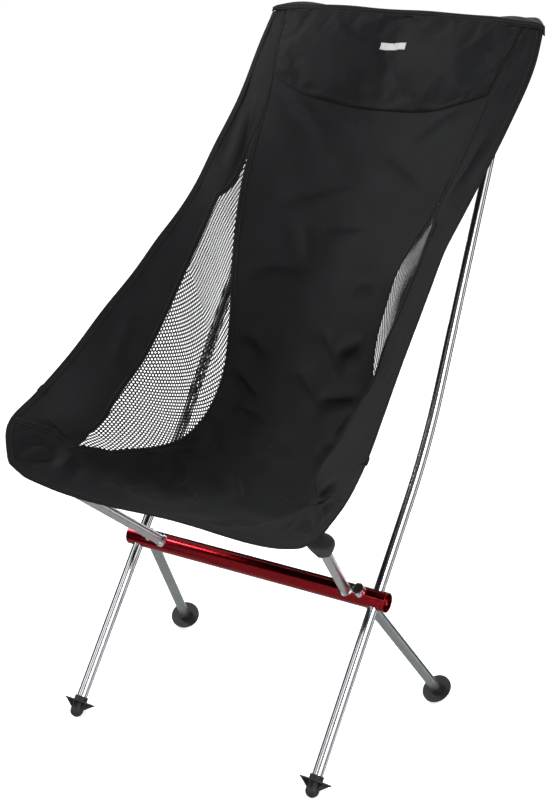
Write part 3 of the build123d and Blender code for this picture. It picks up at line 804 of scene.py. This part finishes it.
def make_top_pocket(name):
    """Reinforced pocket on the sling's rear face that a back pole's tip sits in."""
    tip, axis = pole_line(f"back_pole_upper_{name}")
    across = np.array([1.0, 0, 0])
    behind = unit(np.cross(axis, across))
    behind = behind if behind[1] > 0 else -behind
    rows = []
    for k in np.linspace(0, 1, 30):
        centre = tip - axis * POCKET_LENGTH * (1 - k) + axis * 0.004
        spread = 0.030 + 0.012 * k
        attach = [nearest_on_back(centre[0] + d * spread, centre[2]) for d in (-1, 1)]
        radius = POCKET_RADIUS + 0.002 * (1 - k) ** 3
        row = []
        for t in np.linspace(0, 1, 12)[:-1]:
            start = centre - across * radius
            row.append(attach[0] + (start - attach[0]) * t)
        for angle in np.linspace(-90, 90, 20):
            a = math.radians(angle)
            row.append(centre + across * radius * math.sin(a) + behind * radius * math.cos(a))
        for t in np.linspace(0, 1, 12)[1:]:
            start = centre + across * radius
            row.append(start + (attach[1] - start) * t)
        rows.append(row)
    points = np.array(rows)
    normal = unit(np.cross(np.gradient(points, axis=1), np.gradient(points, axis=0)))
    pocket = cloth_sheet(f"pole_pocket_{name}", points, normal, POCKET_FABRIC)
    place_piece(pocket, "pocket_fabric", f"top_pocket_{name}")


def make_front_pocket(name):
    """Sewn corner pocket with a rounded head over a seat pole's tip, open at its mouth below."""
    tip, axis = pole_line(f"seat_pole_{name}")
    side = unit(np.cross(axis, [0, 0, 1.0]))
    up = np.cross(side, axis)
    rings = []
    for k in np.linspace(0, 1, 34):
        centre = tip - axis * (FRONT_POCKET_MOUTH - FRONT_POCKET_LENGTH * k)
        dome = math.sqrt(max(1 - max((k - 0.72) / 0.285, 0) ** 2, 0))
        ring = []
        for angle in np.linspace(0, 2 * math.pi, 48, endpoint=False):
            gather = 1 + 0.05 * math.sin(5 * angle + 1) * (1 - k)
            wide = (0.0102 + 0.0060 * math.sin(0.5 * math.pi * min(k / 0.6, 1))) * gather * dome
            high = POCKET_RADIUS * gather * dome
            ring.append(centre + side * math.cos(angle) * wide + up * math.sin(angle) * high)
        rings.append(ring)
    outer = np.array(rings)
    inner = outer + unit(outer.mean(axis=1, keepdims=True) - outer) * 0.0014
    lip = (outer[:1] + inner[:1]) / 2 - axis * 0.0008
    loop = np.concatenate([inner[:24][::-1], lip, outer])
    rows, columns = loop.shape[:2]
    faces = grid_faces(rows, columns, close=True)
    faces.append(tuple((rows - 1) * columns + i for i in range(columns)))
    faces.append(tuple(range(columns))[::-1])
    pocket = new_object(f"corner_pocket_{name}", loop.reshape(-1, 3), faces)
    flat = np.stack(np.meshgrid(np.linspace(0, 0.08, columns), np.linspace(0, 0.08, rows)), axis=-1)
    set_weave(pocket, flat.reshape(-1, 2))
    place_piece(pocket, "pocket_fabric", f"front_pocket_{name}")


def make_tabs():
    """Small folded webbing tabs sewn under the binding on both side edges."""
    for name, sign in (("left", 1), ("right", -1)):
        u, v = np.array([3.0 * sign]), np.array([2.1])
        p = surface(u, v)[0]
        across, along, normal = [x[0] for x in frame_at(u, v)]
        out = across * sign
        path = [p - out * 0.006, p, p + out * 0.0016, p, p - out * 0.006]
        lifts = [0.0021, 0.0021, 0.0, -0.0021, -0.0021]
        path = np.array([q + normal * h for q, h in zip(path, lifts)])
        fine = np.array([np.interp(np.linspace(0, 4, 25), range(5), path[:, k]) for k in range(3)]).T
        tangent = unit(np.gradient(fine, axis=0))
        ups = np.cross(tangent, along)
        tab = swept(f"edge_tab_{name}", fine, np.tile(along, (25, 1)), ups, soft_outline(0.010, 0.0009, 12))
        place_piece(tab, "black_binding")


def make_label():
    """Plain woven label without any mark, laid on the pad."""
    u = np.linspace(*LABEL_U, 25)[None, :]
    v = np.linspace(*LABEL_V, 7)[:, None]
    points = surface(u, v)
    pad = bpy.data.objects["headrest_pad"]
    tree = BVHTree.FromObject(pad, bpy.context.evaluated_depsgraph_get())
    normal = frame_at(u, v + 0 * u)[2]
    for j in range(points.shape[0]):
        for i in range(points.shape[1]):
            start = Vector(points[j, i] + normal[j, i] * 0.06)
            hit = tree.ray_cast(start, -Vector(normal[j, i]), 0.08)[0]
            if hit is not None:
                points[j, i] = np.array(hit) + normal[j, i] * 0.0007
    label = cloth_sheet("woven_label", points, normal, 0.0007)
    place_piece(label, "black_fabric", finish="label")


# ---- Studio ----

# Cards round the chair that only mirror reflections see: turn from FRONT_TURN in degrees, width in
# metres and glow. They give the polished tubes their dark and bright stripes.
CARDS = [(0, 0.6, 0), (38, 1.1, 1.5), (-38, 1.1, 1.5), (72, 0.5, 0), (-72, 0.5, 0), (88, 0.5, 1.6),
         (-88, 0.5, 1.6), (110, 1.0, 0), (-110, 1.0, 0), (132, 1.0, 0), (-132, 1.0, 0),
         (154, 0.7, 1.5), (-154, 0.7, 1.5), (180, 0.7, 0)]
FRONT_TURN = -57.8
CAMERA_PLACE = (0.9835, HUB_Y - 1.5643, 1.0591)
CAMERA_LOOK = (-0.5015, 0.7977, -0.3350)
CAMERA_LENS, CAMERA_SHIFT = 75.30, (0.0267, 0.0017)
CARD_LOW, CARD_HIGH, CARD_DISTANCE = -1.2, 2.8, 2.6
WALL_SIDES, WALL_RADIUS, WALL_LOW, WALL_HIGH = 64, 11.0, -0.1, 9.0
STAGE_Y = 4.0
FLOOR_GLOW = 0.66
WORLD_GLOW = 0.42
# name, place, target, size and power
LIGHTS = [("key", (-1.9, -0.7, 2.2), (0, 0.05, 0.45), (0.7, 0.9), 50),
          ("fill", (2.2, -1.4, 1.5), (0, 0, 0.4), (0.8, 1.6), 40),
          ("rim", (0.6, 2.4, 2.2), (0, 0, 0.5), (1.6, 0.8), 40)]


def stage_piece(piece, colour, roughness, glow, hidden_from):
    """Stage scenery that glows evenly and that some kinds of rays don't see."""
    m, tree, shader = material(piece.name, colour, roughness)
    shader.inputs["Specular IOR Level"].default_value = 0.0
    shader.inputs["Emission Color"].default_value = (1, 1, 1, 1)
    shader.inputs["Emission Strength"].default_value = glow
    piece.data.materials.append(m)
    for ray in hidden_from:
        setattr(piece, f"visible_{ray}", False)


def make_floor():
    bpy.ops.mesh.primitive_plane_add(size=24, location=(0, STAGE_Y, 0))
    floor = bpy.context.object
    floor.name = "floor"
    stage_piece(floor, (0.86, 0.86, 0.86), 0.95, FLOOR_GLOW, ("glossy",))


def make_backdrop():
    """Round white wall far behind the chair, seen only by the camera."""
    turns = [2 * math.pi * k / WALL_SIDES for k in range(WALL_SIDES)]
    points = [(WALL_RADIUS * math.cos(a), STAGE_Y + WALL_RADIUS * math.sin(a), z)
              for z in (WALL_LOW, WALL_HIGH) for a in turns]
    wall = new_object("backdrop", points, grid_faces(2, WALL_SIDES, close=True))
    stage_piece(wall, (0, 0, 0), 1.0, 1.0, ("diffuse", "glossy", "shadow", "transmission"))


def make_card(turn, width, glow):
    a = math.radians(FRONT_TURN + turn)
    middle = Vector((math.cos(a), math.sin(a), 0)) * CARD_DISTANCE
    side = Vector((-math.sin(a), math.cos(a), 0)) * width / 2
    points = [(p.x, p.y, z) for z in (CARD_LOW, CARD_HIGH) for p in (middle - side, middle + side)]
    card = new_object(f"card_{turn % 360}", points, [(0, 1, 3, 2)], smooth=False)
    stage_piece(card, (0.01, 0.01, 0.01), 1.0, glow, ("camera", "diffuse", "shadow", "transmission"))


def make_light(name, place, target, size, power):
    data = bpy.data.lights.new(name, "AREA")
    data.shape = "RECTANGLE"
    data.size, data.size_y = size
    data.energy = power
    lamp = bpy.data.objects.new(name, data)
    lamp.location = place
    lamp.rotation_euler = (Vector(target) - Vector(place)).to_track_quat("-Z", "Y").to_euler()
    bpy.context.scene.collection.objects.link(lamp)


def make_studio():
    make_floor()
    make_backdrop()
    for card in CARDS:
        make_card(*card)
    for light in LIGHTS:
        make_light(*light)
    world = bpy.data.worlds.new("world")
    world.use_nodes = True
    background = world.node_tree.nodes["Background"]
    background.inputs["Color"].default_value = (1, 1, 1, 1)
    background.inputs["Strength"].default_value = WORLD_GLOW
    bpy.context.scene.world = world
    bpy.context.scene.view_settings.view_transform = "Standard"


def make_camera():
    data = bpy.data.cameras.new("camera")
    data.sensor_width = 36.0
    data.lens = CAMERA_LENS
    data.shift_x, data.shift_y = CAMERA_SHIFT
    data.clip_end = 50
    camera = bpy.data.objects.new("camera", data)
    camera.location = CAMERA_PLACE
    camera.rotation_euler = Vector(CAMERA_LOOK).to_track_quat("-Z", "Y").to_euler()
    bpy.context.scene.collection.objects.link(camera)
    bpy.context.scene.camera = camera


make_camera()
finish_cad_nodes()
make_panels()
make_mesh_windows()
make_seams()
make_binding()
make_headrest()
make_yoke()
for side_name in ("left", "right"):
    make_top_pocket(side_name)
    make_front_pocket(side_name)
make_tabs()
make_label()
make_studio()
